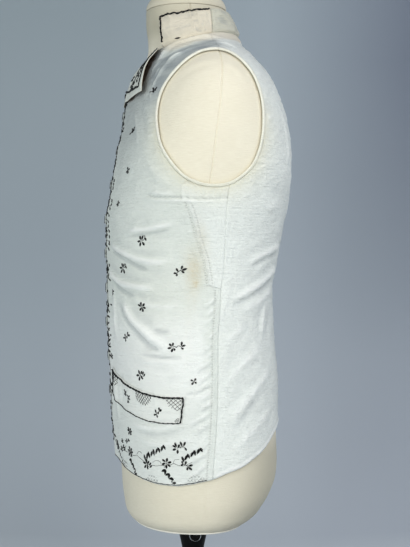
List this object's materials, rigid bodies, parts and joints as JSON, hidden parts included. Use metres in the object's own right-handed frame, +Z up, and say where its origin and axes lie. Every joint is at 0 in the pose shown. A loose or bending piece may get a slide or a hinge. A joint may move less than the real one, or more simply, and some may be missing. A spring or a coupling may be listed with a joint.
{
  "type": "embroidered waistcoat on a limbless dress form",
  "caption": "Sleeveless embroidered waistcoat with stand collar, small revers and pocket welts, buttoned over a limbless dress form on a short round-based stand.",
  "frame": {"origin": "centre of the flat underside of the stand's round base", "axes": "+Z up, the waistcoat faces -Y, the wearer's left side is +X"},
  "size_m": [0.3458, 0.3, 0.893],
  "materials": {
    "cloth": "plain white cotton, fine horizontal ribs, matt",
    "embroidered_cloth": "plain white cotton worked with small black sprigs, matt",
    "form_cover": "smooth cream jersey cover, matt",
    "black_plastic": "satin black",
    "chrome": "bright chrome"
  },
  "bodies": {
    "root": {"back_left": "cloth", "back_right": "cloth", "binding_left": "cloth", "binding_right": "cloth", "button_1": "embroidered_cloth", "button_2": "embroidered_cloth", "button_3": "embroidered_cloth", "button_4": "embroidered_cloth", "button_5": "embroidered_cloth", "button_6": "embroidered_cloth", "button_7": "embroidered_cloth", "button_8": "embroidered_cloth", "button_9": "embroidered_cloth", "collar_back": "cloth", "collar_front_left": "embroidered_cloth", "collar_front_right": "embroidered_cloth", "form_body": "form_cover", "form_cap": "form_cover", "front_left": "embroidered_cloth", "front_right": "embroidered_cloth", "revers_left": "embroidered_cloth", "revers_right": "embroidered_cloth", "stand_foot": "black_plastic", "stand_knob": "chrome", "stand_socket": "black_plastic", "underarm_left": "cloth", "underarm_right": "cloth", "welt_left": "embroidered_cloth", "welt_right": "embroidered_cloth"}
  },
  "joints": []
}
